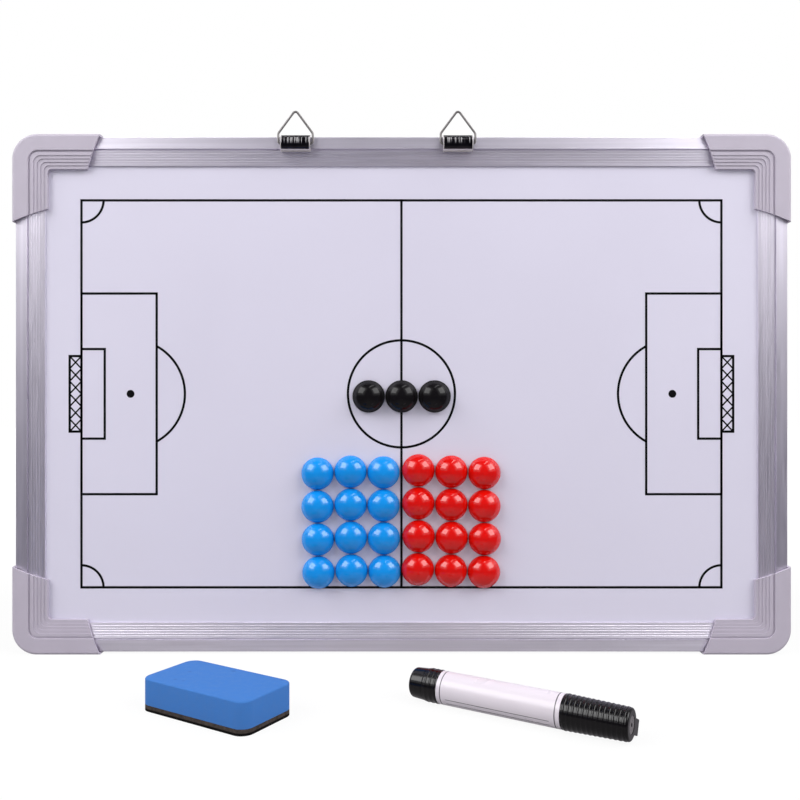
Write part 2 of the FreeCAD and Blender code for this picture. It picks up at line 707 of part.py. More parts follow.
def pen_barrel():
    front = shoulder() + FRONT_SPIGOT_LENGTH
    grip_radius = BARREL_RADIUS + LABEL_CLEARANCE + LABEL_THICKNESS
    grip_end = label_start() - LABEL_CLEARANCE
    body = turned([
        (0, REAR_PLUG_LENGTH, 0),
        (grip_radius, REAR_PLUG_LENGTH, BARREL_EDGE_ROUND),
        (grip_radius, grip_end, 0),
        (BARREL_RADIUS, grip_end, 0),
        (BARREL_RADIUS, shoulder(), 0),
        (FRONT_SPIGOT_RADIUS, shoulder(), 0),
        (FRONT_SPIGOT_RADIUS, front, 0),
        (0, front, 0),
    ])
    first = REAR_PLUG_LENGTH + BARREL_EDGE_ROUND
    ribs = ring_ribs(first, grip_end, REAR_RIB_COUNT, grip_radius, grip_radius)
    bore_start = V(0, 0, REAR_PLUG_LENGTH - CUT_OVERRUN)
    bore = Part.makeCylinder(BARREL_BORE_RADIUS, front - REAR_PLUG_LENGTH + 2 * CUT_OVERRUN, bore_start)
    return body.fuse(ribs).cut(bore).removeSplitter()


def pen_label():
    inner = BARREL_RADIUS + LABEL_CLEARANCE
    place = V(0, 0, label_start())
    sleeve = Part.makeCylinder(inner + LABEL_THICKNESS, LABEL_LENGTH, place)
    return sleeve.cut(Part.makeCylinder(inner, LABEL_LENGTH, place))


def pen_rear_plug():
    neck = BARREL_BORE_RADIUS - PEN_FIT_CLEARANCE
    return turned([
        (0, 0, 0),
        (REAR_PLUG_END_RADIUS, 0, REAR_PLUG_ROUND),
        (REAR_PLUG_RADIUS, REAR_PLUG_LENGTH, 0),
        (neck, REAR_PLUG_LENGTH, 0),
        (neck, REAR_PLUG_LENGTH + REAR_SPIGOT_LENGTH, 0),
        (0, REAR_PLUG_LENGTH + REAR_SPIGOT_LENGTH, 0),
    ])


def holder_base():
    return shoulder() + FRONT_SPIGOT_LENGTH


def pen_nib_holder():
    base = holder_base()
    neck = BARREL_BORE_RADIUS - PEN_FIT_CLEARANCE
    body = turned([
        (0, base - HOLDER_SPIGOT_LENGTH, 0),
        (neck, base - HOLDER_SPIGOT_LENGTH, 0),
        (neck, base, 0),
        (FRONT_SPIGOT_RADIUS, base, 0),
        (HOLDER_TIP_RADIUS, base + HOLDER_LENGTH, 0),
        (0, base + HOLDER_LENGTH, 0),
    ])
    way = Part.makeCylinder(
        NIB_RADIUS + PEN_FIT_CLEARANCE, CAP_LENGTH, V(0, 0, base - HOLDER_SPIGOT_LENGTH - NIB_BACK_LENGTH)
    )
    return body.cut(way)


def pen_nib():
    base = holder_base()
    tip = base + HOLDER_LENGTH + NIB_STAND_OUT
    return turned([
        (0, base - HOLDER_SPIGOT_LENGTH - NIB_BACK_LENGTH, 0),
        (NIB_RADIUS, base - HOLDER_SPIGOT_LENGTH - NIB_BACK_LENGTH, 0),
        (NIB_RADIUS, tip - NIB_RADIUS, NIB_RADIUS / 2),
        (NIB_RADIUS / 2, tip, 0),
        (0, tip, 0),
    ])


def pen_ink_rod():
    start = REAR_PLUG_LENGTH + REAR_SPIGOT_LENGTH
    end = holder_base() - HOLDER_SPIGOT_LENGTH - NIB_BACK_LENGTH
    radius = BARREL_BORE_RADIUS - PEN_FIT_CLEARANCE
    return Part.makeCylinder(radius, end - start, V(0, 0, start))


def pocket_clip(end):
    """The springy bar along the side of the cap, joined to it at the cap's closed end."""
    low = CAP_RADIUS + PEN_RIB_HEIGHT + POCKET_CLIP_GAP
    half = POCKET_CLIP_WIDTH / 2
    tip = end - POCKET_CLIP_LENGTH
    outline = [
        (-half, low, 0),
        (half, low, 0),
        (half, low + POCKET_CLIP_THICKNESS, POCKET_CLIP_EDGE_RADIUS),
        (-half, low + POCKET_CLIP_THICKNESS, POCKET_CLIP_EDGE_RADIUS),
    ]
    section = rounded_face([(V(x, y, tip), radius) for x, y, radius in outline])
    bar = section.extrude(V(0, 0, POCKET_CLIP_LENGTH))
    root_low = (CAP_DISC_RADIUS + FRONT_SPIGOT_RADIUS) / 2
    root_place = V(-half, root_low, end - POCKET_CLIP_ROOT)
    root = Part.makeBox(POCKET_CLIP_WIDTH, low - root_low, POCKET_CLIP_ROOT, root_place)
    bead_place = V(-half, low - POCKET_CLIP_BEAD, tip)
    bead = Part.makeBox(POCKET_CLIP_WIDTH, POCKET_CLIP_BEAD, POCKET_CLIP_THICKNESS, bead_place)
    clip = bar.fuse([root, bead])
    clip.rotate(V(0, 0, 0), V(0, 0, 1), POCKET_CLIP_TURN_DEG)
    return clip


def pen_cap():
    mouth = shoulder() + CAP_MOUTH_GAP
    end = mouth + CAP_LENGTH
    disc = end - CAP_DISC_DEPTH
    body = turned([
        (0, mouth, 0),
        (CAP_RADIUS, mouth, 0),
        (CAP_END_RADIUS, end, CAP_EDGE_ROUND),
        (CAP_DISC_RADIUS, end, 0),
        (CAP_DISC_RADIUS, disc, 0),
        (CAP_MARK_RADIUS, disc, 0),
        (CAP_MARK_RADIUS, disc - CAP_MARK_DEPTH, 0),
        (0, disc - CAP_MARK_DEPTH, 0),
    ])
    ribs = ring_ribs(mouth, end - CAP_EDGE_ROUND, CAP_RIB_COUNT, CAP_RADIUS, CAP_END_RADIUS)
    hollow_start = V(0, 0, mouth - CUT_OVERRUN)
    hollow = Part.makeCylinder(
        FRONT_SPIGOT_RADIUS + PEN_FIT_CLEARANCE, CAP_LENGTH - CAP_END_WALL + CUT_OVERRUN, hollow_start
    )
    return body.fuse(ribs + [pocket_clip(end)]).cut(hollow).removeSplitter()


def make_pen():
    save("pen_barrel", lay_pen(pen_barrel()))
    save("pen_label", lay_pen(pen_label()))
    save("pen_rear_plug", lay_pen(pen_rear_plug()))
    save("pen_nib_holder", lay_pen(pen_nib_holder()))
    save("pen_nib", lay_pen(pen_nib()))
    save("pen_ink_rod", lay_pen(pen_ink_rod()))
    save("pen_cap", lay_pen(pen_cap()))


os.makedirs("parts", exist_ok=True)
make_panel()
make_frame()
make_hangers()
make_counters()
make_block()
make_pen()
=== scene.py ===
"""Looks of a football tactics board set: printed pitch, foam block, and a finish for every piece.

Metres, in the part's own frame: +X right along the board, +Y away from the viewer, +Z up.
"""

import math

import bpy
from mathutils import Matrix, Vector


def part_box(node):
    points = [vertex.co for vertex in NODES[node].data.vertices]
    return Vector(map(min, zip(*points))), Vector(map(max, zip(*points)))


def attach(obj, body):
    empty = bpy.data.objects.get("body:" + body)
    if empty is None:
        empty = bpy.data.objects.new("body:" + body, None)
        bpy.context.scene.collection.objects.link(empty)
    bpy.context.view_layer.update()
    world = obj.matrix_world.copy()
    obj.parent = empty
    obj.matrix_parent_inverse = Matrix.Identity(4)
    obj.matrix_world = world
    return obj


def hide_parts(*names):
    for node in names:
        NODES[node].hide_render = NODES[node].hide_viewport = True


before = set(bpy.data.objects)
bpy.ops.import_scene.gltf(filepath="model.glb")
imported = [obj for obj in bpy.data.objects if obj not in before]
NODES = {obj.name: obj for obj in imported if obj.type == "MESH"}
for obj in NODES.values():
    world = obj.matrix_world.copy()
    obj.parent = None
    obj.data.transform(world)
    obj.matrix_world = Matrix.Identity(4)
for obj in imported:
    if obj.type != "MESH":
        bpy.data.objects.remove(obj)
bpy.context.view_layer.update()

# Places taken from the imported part
SHEET_LOW, SHEET_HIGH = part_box("writing_sheet")
FACE_Y = SHEET_LOW.y
BOARD_MIDDLE_Z = (SHEET_LOW.z + SHEET_HIGH.z) / 2

# Turns a shape that lies flat, or a camera that looks down, to stand square to the board
STAND_UP = math.pi / 2

# Printed pitch, measured from its own middle
PITCH_SHIFT_X = -0.0001
PITCH_SHIFT_Z = 0.0003
PITCH_HALF_LENGTH = 0.1872
PITCH_HALF_WIDTH = 0.1132
LINE_WIDTH = 0.0014
INK_DEPTH = 0.00004
CIRCLE_RADIUS = 0.0313
AREA_DEPTH = 0.0440
AREA_HALF_WIDTH = 0.0587
GOAL_AREA_DEPTH = 0.0136
GOAL_AREA_HALF_WIDTH = 0.0262
SPOT_DISTANCE = 0.0287
SPOT_RADIUS = 0.0023
ARC_RADIUS = 0.0318
CORNER_ARC_RADIUS = 0.0129
GOAL_DEPTH = 0.0069
GOAL_HALF_WIDTH = 0.0221
NET_CELLS = 6
NET_LINE_WIDTH = 0.0009
RING_POINTS = 192
SPOT_POINTS = 48

# Wiping block, sized as in the part, with softened rims
BLOCK_LENGTH = 0.0662
BLOCK_WIDTH = 0.0350
FOAM_HEIGHT = 0.0122
FELT_HEIGHT = 0.0030
# Height of the near-black band painted as the block's contact shadow
FELT_SHADOW_HEIGHT = 0.0013
BLOCK_CORNER_RADIUS = 0.0060
BLOCK_CORNER_STEPS = 10
FOAM_RIM = 0.0007
FELT_RIM = 0.0002
RIM_STEPS = 4
NEAR_TOP = 0.99
SMOOTH_BELOW = math.radians(35)
BLOCK_TURN = math.radians(-31.7)

# Pen, as in the part, measured along it from the label's middle
PEN_TURN = math.radians(-31.2)
CAP_DISC_FROM = 0.0602
CAP_DISC_RADIUS = 0.0041
CAP_MARK_RADIUS = 0.0009
LABEL_RING_AT = 0.0288
LABEL_RING_WIDTH = 0.0005
LABEL_RULE_WIDTH = 0.0003
LABEL_RULE_HALF_LENGTH = 0.0262
LABEL_RULE_LOW = -0.0052
LABEL_RULE_HIGH = -0.0030

# Hanger clips: painted highlights along the ends and the foot, and a painted reflection in short
# streaks below the crest
CLIP_END_HIGHLIGHT = 0.0006
CLIP_FOOT_HIGHLIGHT = 0.0010
CLIP_STREAK_TOP = 0.0023
CLIP_STREAK_LENGTH = 0.0042
CLIP_STREAK_FADE = 0.0016
CLIP_STREAK_STRETCH = (3.2, 0.1, 0.1)
CLIP_STREAK_DARK = 0.49
CLIP_STREAK_BRIGHT = 0.57
CLIP_HIGHLIGHT_METALLIC = 0.25

# Counters: polished crown above dull sides, measured from the writing face
COUNTER_SKIRT = 0.0012
COUNTER_POLISH_FROM = 0.0050

# Foam: painted shade in small nicks, by their spacing and their size within it
FOAM_NICK_SCALE = 75
FOAM_NICK_EDGE = 0.12
FOAM_NICK_HEART = 0.02

# Noise that leads the finishes, and the part of its range that shows
PATCH_DETAIL = 4
GRAIN_DETAIL = 2
DRAWN_LINE_SCALE = 2500
DRAWN_LINE_DETAIL = 3
DRAWN_BAND_SCALE = 300
DRAWN_BAND_DETAIL = 2
NOISE_LOW = 0.3
NOISE_HIGH = 0.7

# Shares and depths common to every skin or every drawn metal
PLAIN_SHINE = 0.5
SKIN_ROUGHNESS_SPREAD = 0.15
METAL_BAND_SHADE = 0.86
METAL_SMOOTHER = 0.8
METAL_ROUGHER = 1.25
METAL_LINE_BUMP = 0.25
METAL_LINE_DEPTH = 0.00003
EDGE_SOFTNESS = 0.0002
LINE_SOFTNESS = 0.1

# Which way a metal's lines run, as the stretch of its noise
DRAWN_ALONG = (0.02, 1.0, 1.0)
DRAWN_UPRIGHT = (1.0, 1.0, 0.02)
ROLLED_ALONG = (0.04, 1.0, 1.0)
NO_LINES = (1.0, 1.0, 1.0)

# Camera, square to the board's face
CAMERA_X = -0.00094
CAMERA_HEIGHT = 0.1479
CAMERA_AHEAD = 0.495
SENSOR_WIDTH = 36
FOCAL_SHARE = 846.0 / 800.0
VIEW_NEAR = 0.01
VIEW_FAR = 50

# Lamps, placed from the middle of the board's face
SOFTBOX_ASIDE = 0.90
SOFTBOX_ABOVE = 0.74
SOFTBOX_WATTS = 4.6
SOFTBOX_WIDTH = 1.4
SOFTBOX_HEIGHT = 1.35
CORE_ASIDE = 1.06
CORE_ABOVE = 0.89
CORE_WATTS = 14.7
CORE_WIDTH = 1.05
CORE_HEIGHT = 0.9
LAMPS_AHEAD = 0.60
BACK_PLACE = (0.3, 1.6, 0.45)
BACK_WATTS = 10
STRIP_PLACE = (0.35, -0.25, 1.3)
STRIP_WIDTH = 1.0
STRIP_HEIGHT = 0.12
STRIP_WATTS = 1.9

# Floor, background and the room that shiny pieces mirror
WHITE = (1.0, 1.0, 1.0, 1.0)
BLACK = (0.0, 0.0, 0.0, 1.0)
FLOOR_SIZE = 8
FLOOR_GREY = (0.4, 0.4, 0.4, 1.0)
FLOOR_GLOW = 1.1
FLOOR_FADE_FROM = 0.35
FLOOR_FADE_TO = 0.9
FLOOR_NEAR_SHARE = 0.84
FILL_COLOUR = (1.0, 0.99, 1.0, 1.0)
FILL_STRENGTH = 0.18
ROOM_RADIUS = 3.4
ROOM_SEGMENTS = 48
ROOM_RINGS = 24
ROOM_FLOOR = 0.0003
ROOM_GLOW = (0.104, 0.099, 0.130, 1.0)
ROOM_TABLE_GLOW = (0.46, 0.44, 0.46, 1.0)
ROOM_BACK_GLOW = (0.40, 0.39, 0.42, 1.0)
ROOM_BACK_FADE = 0.10
ROOM_TABLE_FAR = 0.45
ROOM_TABLE_SQUEEZE = 1.5


# Selecting, applying and joining

def nothing_selected():
    if bpy.context.object and bpy.context.object.mode != "OBJECT":
        bpy.ops.object.mode_set(mode="OBJECT")
    bpy.ops.object.select_all(action="DESELECT")


def pick(pieces):
    """Selects these pieces alone and makes the first one active."""
    nothing_selected()
    for piece in pieces:
        piece.select_set(True)
    bpy.context.view_layer.objects.active = pieces[0]


def apply_place(piece):
    pick([piece])
    bpy.ops.object.transform_apply(location=True, rotation=True, scale=True)


def join_pieces(pieces, name):
    pick(pieces)
    bpy.ops.object.join()
    joined = bpy.context.object
    joined.name = name
    joined.data.name = name
    return joined


def outward_normals(piece):
    pick([piece])
    bpy.ops.object.mode_set(mode="EDIT")
    bpy.ops.mesh.select_all(action="SELECT")
    bpy.ops.mesh.normals_make_consistent(inside=False)
    bpy.ops.object.mode_set(mode="OBJECT")


def select_edges(piece, wanted):
    """In edit mode, selects the edges whose two end points satisfy the test."""
    bpy.ops.mesh.select_mode(type="EDGE")
    bpy.ops.mesh.select_all(action="DESELECT")
    bpy.ops.object.mode_set(mode="OBJECT")
    points = piece.data.vertices
    for edge in piece.data.edges:
        edge.select = wanted(points[edge.vertices[0]].co, points[edge.vertices[1]].co)
    bpy.ops.object.mode_set(mode="EDIT")


# Pitch print

def pitch_point(x, z):
    return Vector((PITCH_SHIFT_X + x, FACE_Y - INK_DEPTH, BOARD_MIDDLE_Z + PITCH_SHIFT_Z + z))


def printed_line(x0, z0, x1, z1, width=LINE_WIDTH):
    """A straight printed line with square ends that reach half a width past its two points."""
    length = math.hypot(x1 - x0, z1 - z0) + width
    slope = math.atan2(z1 - z0, x1 - x0)
    nothing_selected()
    bpy.ops.mesh.primitive_plane_add(
        size=1,
        location=pitch_point((x0 + x1) / 2, (z0 + z1) / 2),
        rotation=(STAND_UP, -slope, 0),
    )
    line = bpy.context.object
    line.scale = (length, width, 1)
    apply_place(line)
    return line


def printed_ring(x, z, radius, cuts=()):
    """A printed circle line. Each cut (point, normal) takes off what lies on its normal's side."""
    nothing_selected()
    centre = pitch_point(x, z)
    bpy.ops.mesh.primitive_circle_add(
        vertices=RING_POINTS,
        radius=radius - LINE_WIDTH / 2,
        fill_type="NOTHING",
        location=centre,
        rotation=(STAND_UP, 0, 0),
    )
    ring = bpy.context.object
    apply_place(ring)
    bpy.ops.object.mode_set(mode="EDIT")
    bpy.ops.mesh.select_all(action="SELECT")
    bpy.ops.mesh.extrude_edges_move()
    widen = (radius + LINE_WIDTH / 2) / (radius - LINE_WIDTH / 2)
    bpy.ops.transform.resize(value=(widen, widen, widen), center_override=centre)
    for point, normal in cuts:
        bpy.ops.mesh.select_all(action="SELECT")
        bpy.ops.mesh.bisect(plane_co=point, plane_no=normal, clear_outer=True)
    bpy.ops.object.mode_set(mode="OBJECT")
    return ring


def printed_spot(x, z):
    nothing_selected()
    bpy.ops.mesh.primitive_circle_add(
        vertices=SPOT_POINTS,
        radius=SPOT_RADIUS,
        fill_type="NGON",
        location=pitch_point(x, z),
        rotation=(STAND_UP, 0, 0),
    )
    spot = bpy.context.object
    apply_place(spot)
    return spot


def printed_box(x0, z0, x1, z1):
    return [
        printed_line(x0, z0, x1, z0),
        printed_line(x1, z0, x1, z1),
        printed_line(x1, z1, x0, z1),
        printed_line(x0, z1, x0, z0),
    ]


def goal_net(side):
    """The goal outside the goal line, filled with crossed net lines."""
    near = side * PITCH_HALF_LENGTH
    far = side * (PITCH_HALF_LENGTH + GOAL_DEPTH)
    lines = printed_box(near, -GOAL_HALF_WIDTH, far, GOAL_HALF_WIDTH)
    cell = 2 * GOAL_HALF_WIDTH / NET_CELLS
    for i in range(NET_CELLS):
        low = -GOAL_HALF_WIDTH + cell * i
        lines.append(printed_line(near, low, far, low + cell, NET_LINE_WIDTH))
        lines.append(printed_line(near, low + cell, far, low, NET_LINE_WIDTH))
    return lines


def pitch_end(side):
    """Penalty area, goal area, spot, arc and goal at one end of the pitch."""
    line = side * PITCH_HALF_LENGTH
    area = line - side * AREA_DEPTH
    goal_area = line - side * GOAL_AREA_DEPTH
    spot = line - side * SPOT_DISTANCE
    lines = printed_box(line, -AREA_HALF_WIDTH, area, AREA_HALF_WIDTH)
    lines += printed_box(line, -GOAL_AREA_HALF_WIDTH, goal_area, GOAL_AREA_HALF_WIDTH)
    lines.append(printed_spot(spot, 0))
    lines.append(printed_ring(spot, 0, ARC_RADIUS, [(pitch_point(area, 0), (side, 0, 0))]))
    return lines + goal_net(side)


def pitch_corner(side, level):
    """A quarter circle in one corner of the pitch."""
    x = side * PITCH_HALF_LENGTH
    z = level * PITCH_HALF_WIDTH
    corner = pitch_point(x, z)
    cuts = [(corner, (side, 0, 0)), (corner, (0, 0, level))]
    return printed_ring(x, z, CORNER_ARC_RADIUS, cuts)


def make_pitch():
    """All printed lines as one flat piece that faces the viewer."""
    lines = printed_box(-PITCH_HALF_LENGTH, -PITCH_HALF_WIDTH, PITCH_HALF_LENGTH, PITCH_HALF_WIDTH)
    lines.append(printed_line(0, -PITCH_HALF_WIDTH, 0, PITCH_HALF_WIDTH))
    lines.append(printed_ring(0, 0, CIRCLE_RADIUS))
    for side in (-1, 1):
        lines += pitch_end(side)
        for level in (-1, 1):
            lines.append(pitch_corner(side, level))
    pitch = join_pieces(lines, "pitch_print")
    outward_normals(pitch)
    for polygon in pitch.data.polygons:
        if polygon.normal.y > 0:
            polygon.flip()
    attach(pitch, "board")
    return pitch


# Wiping block

def block_layer(name, low, height, rim):
    """One layer of the block: a box with rounded corners and a softened upper rim."""
    foam_low, foam_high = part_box("eraser_foam")
    middle = (foam_low + foam_high) / 2
    nothing_selected()
    bpy.ops.mesh.primitive_cube_add(size=1, location=(0, 0, 0))
    layer = bpy.context.object
    layer.name = name
    layer.data.name = name
    layer.scale = (BLOCK_LENGTH, BLOCK_WIDTH, height)
    apply_place(layer)
    bpy.ops.object.mode_set(mode="EDIT")
    half = height / 2
    top = half * NEAR_TOP
    select_edges(layer, lambda a, b: abs(a.z - b.z) > half)
    bpy.ops.mesh.bevel(offset=BLOCK_CORNER_RADIUS, segments=BLOCK_CORNER_STEPS, affect="EDGES")
    select_edges(layer, lambda a, b: a.z > top and b.z > top)
    bpy.ops.mesh.bevel(offset=rim, segments=RIM_STEPS, affect="EDGES")
    bpy.ops.object.mode_set(mode="OBJECT")
    layer.location = (middle.x, middle.y, low + half)
    layer.rotation_euler = (0, 0, BLOCK_TURN)
    apply_place(layer)
    bpy.ops.object.shade_smooth_by_angle(angle=SMOOTH_BELOW)
    return layer


def make_block():
    foam = block_layer("block_foam", FELT_HEIGHT, FOAM_HEIGHT, FOAM_RIM)
    felt = block_layer("block_felt", 0, FELT_HEIGHT, FELT_RIM)
    layers = (
        (foam, "eraser_foam", "blue_foam"),
        (felt, "eraser_felt", "dark_felt"),
    )
    for piece, node, slot in layers:
        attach(piece, "eraser")
        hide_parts(node)
    return foam, felt


# Steps that add nodes to a tree. A value is an output of another node, or plain.

def lead(tree, value, socket):
    """Links an output to a socket, or sets the socket to a plain value."""
    if isinstance(value, bpy.types.NodeSocket):
        tree.links.new(value, socket)
    else:
        socket.default_value = value


def object_place(tree):
    """Where a point lies in its piece's own frame, which is the part's."""
    return tree.nodes.new("ShaderNodeTexCoord").outputs["Object"]


def axes(tree, place):
    """The X, Y and Z of a place."""
    split = tree.nodes.new("ShaderNodeSeparateXYZ")
    lead(tree, place, split.inputs["Vector"])
    return split.outputs["X"], split.outputs["Y"], split.outputs["Z"]


def stretched(tree, place, stretch):
    """A place with each of its axes multiplied."""
    node = tree.nodes.new("ShaderNodeVectorMath")
    node.operation = "MULTIPLY"
    lead(tree, place, node.inputs[0])
    lead(tree, stretch, node.inputs[1])
    return node.outputs["Vector"]


def reach(tree, place):
    """How far a place lies from the origin."""
    node = tree.nodes.new("ShaderNodeVectorMath")
    node.operation = "LENGTH"
    lead(tree, place, node.inputs[0])
    return node.outputs["Value"]


def noise(tree, place, scale, detail):
    node = tree.nodes.new("ShaderNodeTexNoise")
    lead(tree, place, node.inputs["Vector"])
    lead(tree, scale, node.inputs["Scale"])
    lead(tree, detail, node.inputs["Detail"])
    return node.outputs["Fac"]


def value_math(tree, operation, first, *others):
    """The first value brought together with each of the others in turn."""
    for other in others:
        node = tree.nodes.new("ShaderNodeMath")
        node.operation = operation
        lead(tree, first, node.inputs[0])
        lead(tree, other, node.inputs[1])
        first = node.outputs["Value"]
    return first


def off_from(tree, value, middle):
    """How far a value lies from a middle one, on either side."""
    over = value_math(tree, "SUBTRACT", value, middle)
    under = value_math(tree, "SUBTRACT", middle, value)
    return value_math(tree, "MAXIMUM", over, under)


def soft_step(tree, value, start, end, low=0.0, high=1.0):
    """Low up to the start, high past the end, and a soft change between them."""
    step = tree.nodes.new("ShaderNodeMapRange")
    lead(tree, value, step.inputs["Value"])
    lead(tree, start, step.inputs["From Min"])
    lead(tree, end, step.inputs["From Max"])
    lead(tree, low, step.inputs["To Min"])
    lead(tree, high, step.inputs["To Max"])
    return step.outputs["Result"]


def line_mask(tree, value, middle, width):
    """1 on a line of the given width about a middle value, and 0 beside it."""
    off = off_from(tree, value, middle)
    return soft_step(tree, off, width * (0.5 + LINE_SOFTNESS), width * (0.5 - LINE_SOFTNESS))


# Effects shared by several finishes

def new_group(name, inputs, outputs):
    """An empty shared effect with its input and output nodes. Inputs come with their kinds."""
    group = bpy.data.node_groups.new(name, "ShaderNodeTree")
    for socket, kind in inputs.items():
        group.interface.new_socket(name=socket, in_out="INPUT", socket_type=kind)
    for socket in outputs:
        group.interface.new_socket(name=socket, in_out="OUTPUT", socket_type="NodeSocketFloat")
    return group, group.nodes.new("NodeGroupInput"), group.nodes.new("NodeGroupOutput")


def make_mottle_group():
    """Soft uneven patches and fine grain on a moulded or lacquered skin."""
    scales = {"Patch Scale": "NodeSocketFloat", "Grain Scale": "NodeSocketFloat"}
    group, given, made = new_group("skin_mottle", scales, ("Patch", "Grain"))
    place = object_place(group)
    for name, detail in (("Patch", PATCH_DETAIL), ("Grain", GRAIN_DETAIL)):
        mottle = noise(group, place, given.outputs[name + " Scale"], detail)
        lead(group, mottle, made.inputs[name])
    return group


def make_brush_group():
    """Long fine drawing lines along one direction of a metal bar, and broader bands."""
    group, given, made = new_group(
        "drawn_lines", {"Stretch": "NodeSocketVector"}, ("Lines", "Bands")
    )
    place = stretched(group, object_place(group), given.outputs["Stretch"])
    lines = noise(group, place, DRAWN_LINE_SCALE, DRAWN_LINE_DETAIL)
    bands = noise(group, place, DRAWN_BAND_SCALE, DRAWN_BAND_DETAIL)
    lead(group, lines, made.inputs["Lines"])
    lead(group, bands, made.inputs["Bands"])
    return group


def make_pen_group():
    """Where a point lies on the pen: along it from the label's middle, off axis, aside and up."""
    low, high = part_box("pen_label")
    group, _, made = new_group("pen_place", {}, ("Along", "Off Axis", "Side", "Height"))
    turn = group.nodes.new("ShaderNodeMapping")
    turn.vector_type = "TEXTURE"
    turn.inputs["Location"].default_value = (low + high) / 2
    turn.inputs["Rotation"].default_value = (0.0, 0.0, PEN_TURN)
    lead(group, object_place(group), turn.inputs["Vector"])
    turned = turn.outputs["Vector"]
    along, side, height = axes(group, turned)
    across = stretched(group, turned, (0.0, 1.0, 1.0))
    lead(group, along, made.inputs["Along"])
    lead(group, reach(group, across), made.inputs["Off Axis"])
    lead(group, side, made.inputs["Side"])
    lead(group, height, made.inputs["Height"])
    return group


MOTTLE = make_mottle_group()
BRUSH = make_brush_group()
PEN_PLACE = make_pen_group()


def place_group(tree, group, **values):
    node = tree.nodes.new("ShaderNodeGroup")
    node.node_tree = group
    for name, value in values.items():
        node.inputs[name.replace("_", " ")].default_value = value
    return node.outputs


# Finishes

def linear(red, green, blue):
    """A colour as it is seen, 0 to 255, as the linear values a shader takes."""
    def one(value):
        share = value / 255
        return share / 12.92 if share <= 0.04045 else ((share + 0.055) / 1.055) ** 2.4

    return (one(red), one(green), one(blue), 1.0)


def shaded(colour, share):
    """A colour made darker."""
    return tuple(part * share for part in colour[:3]) + (1.0,)


RAIL_COLOUR = linear(249, 244, 255)
PEN_COLOUR = linear(10, 8, 9)


def shader_socket(tree, name):
    return tree.nodes["Principled BSDF"].inputs[name]


def new_finish(name, shine=PLAIN_SHINE):
    finish = bpy.data.materials.new(name)
    finish.use_nodes = True
    shader_socket(finish.node_tree, "Specular IOR Level").default_value = shine
    return finish, finish.node_tree


def vary_colour(tree, mask, low, high, socket="Base Color", start=NOISE_LOW, end=NOISE_HIGH):
    """A colour between two tones, led by a mask."""
    ramp = tree.nodes.new("ShaderNodeValToRGB")
    first, last = ramp.color_ramp.elements
    first.position, first.color = start, low
    last.position, last.color = end, high
    lead(tree, mask, ramp.inputs["Fac"])
    lead(tree, ramp.outputs["Color"], shader_socket(tree, socket))


def lay_over(tree, mask, colour, socket="Base Color"):
    """Lays another colour over the one already led to a socket, where the mask is 1."""
    target = shader_socket(tree, socket)
    under = target.links[0].from_socket
    mix = tree.nodes.new("ShaderNodeMix")
    mix.data_type = "RGBA"
    bottom, top = [entry for entry in mix.inputs if entry.type == "RGBA"]
    mixed = [result for result in mix.outputs if result.type == "RGBA"][0]
    lead(tree, mask, mix.inputs["Factor"])
    lead(tree, under, bottom)
    lead(tree, colour, top)
    lead(tree, mixed, target)


def vary_roughness(tree, mask, low, high):
    roughness = soft_step(tree, mask, NOISE_LOW, NOISE_HIGH, low, high)
    lead(tree, roughness, shader_socket(tree, "Roughness"))


def raise_skin(tree, height, strength, depth):
    bump = tree.nodes.new("ShaderNodeBump")
    lead(tree, strength, bump.inputs["Strength"])
    lead(tree, depth, bump.inputs["Distance"])
    lead(tree, height, bump.inputs["Height"])
    lead(tree, bump.outputs["Normal"], shader_socket(tree, "Normal"))


def moulded_skin(name, colour, darker, patch_scale, grain_scale, bump, depth, shine=PLAIN_SHINE):
    """A skin in one colour with soft patches and fine grain. Also gives the patches."""
    finish, tree = new_finish(name, shine)
    skin = place_group(tree, MOTTLE, Patch_Scale=patch_scale, Grain_Scale=grain_scale)
    vary_colour(tree, skin["Patch"], shaded(colour, darker), colour)
    raise_skin(tree, skin["Grain"], bump, depth)
    return finish, skin["Patch"]


def skin_finish(name, colour, roughness, **skin):
    """A moulded, lacquered or felted skin whose roughness follows its patches."""
    finish, patches = moulded_skin(name, colour, **skin)
    smoother = roughness * (1 - SKIN_ROUGHNESS_SPREAD)
    rougher = roughness * (1 + SKIN_ROUGHNESS_SPREAD)
    vary_roughness(finish.node_tree, patches, smoother, rougher)
    return finish


def counter_finish(name, colour, roughness, side_roughness, shine):
    """A moulded dome, polished on its crown and duller down its sides."""
    finish, _ = moulded_skin(
        name, colour, darker=0.94, patch_scale=60, grain_scale=700, bump=0.03, depth=0.00002,
        shine=shine,
    )
    tree = finish.node_tree
    _, deep, _ = axes(tree, object_place(tree))
    crown = FACE_Y - COUNTER_POLISH_FROM
    skirt = FACE_Y - COUNTER_SKIRT
    polish = soft_step(tree, deep, crown, skirt, roughness, side_roughness)
    lead(tree, polish, shader_socket(tree, "Roughness"))
    return finish


def drawn_metal(name, colour, roughness, stretch, spread=0.0, turn=0.0, metallic=1.0):
    """Drawn or brushed metal. Its shine spreads across the lines, by the share and turn given."""
    finish, tree = new_finish(name)
    shader_socket(tree, "Metallic").default_value = metallic
    shader_socket(tree, "Anisotropic").default_value = spread
    shader_socket(tree, "Anisotropic Rotation").default_value = turn
    brush = place_group(tree, BRUSH, Stretch=stretch)
    vary_colour(tree, brush["Bands"], shaded(colour, METAL_BAND_SHADE), colour)
    vary_roughness(tree, brush["Lines"], roughness * METAL_SMOOTHER, roughness * METAL_ROUGHER)
    raise_skin(tree, brush["Lines"], METAL_LINE_BUMP, METAL_LINE_DEPTH)
    return finish


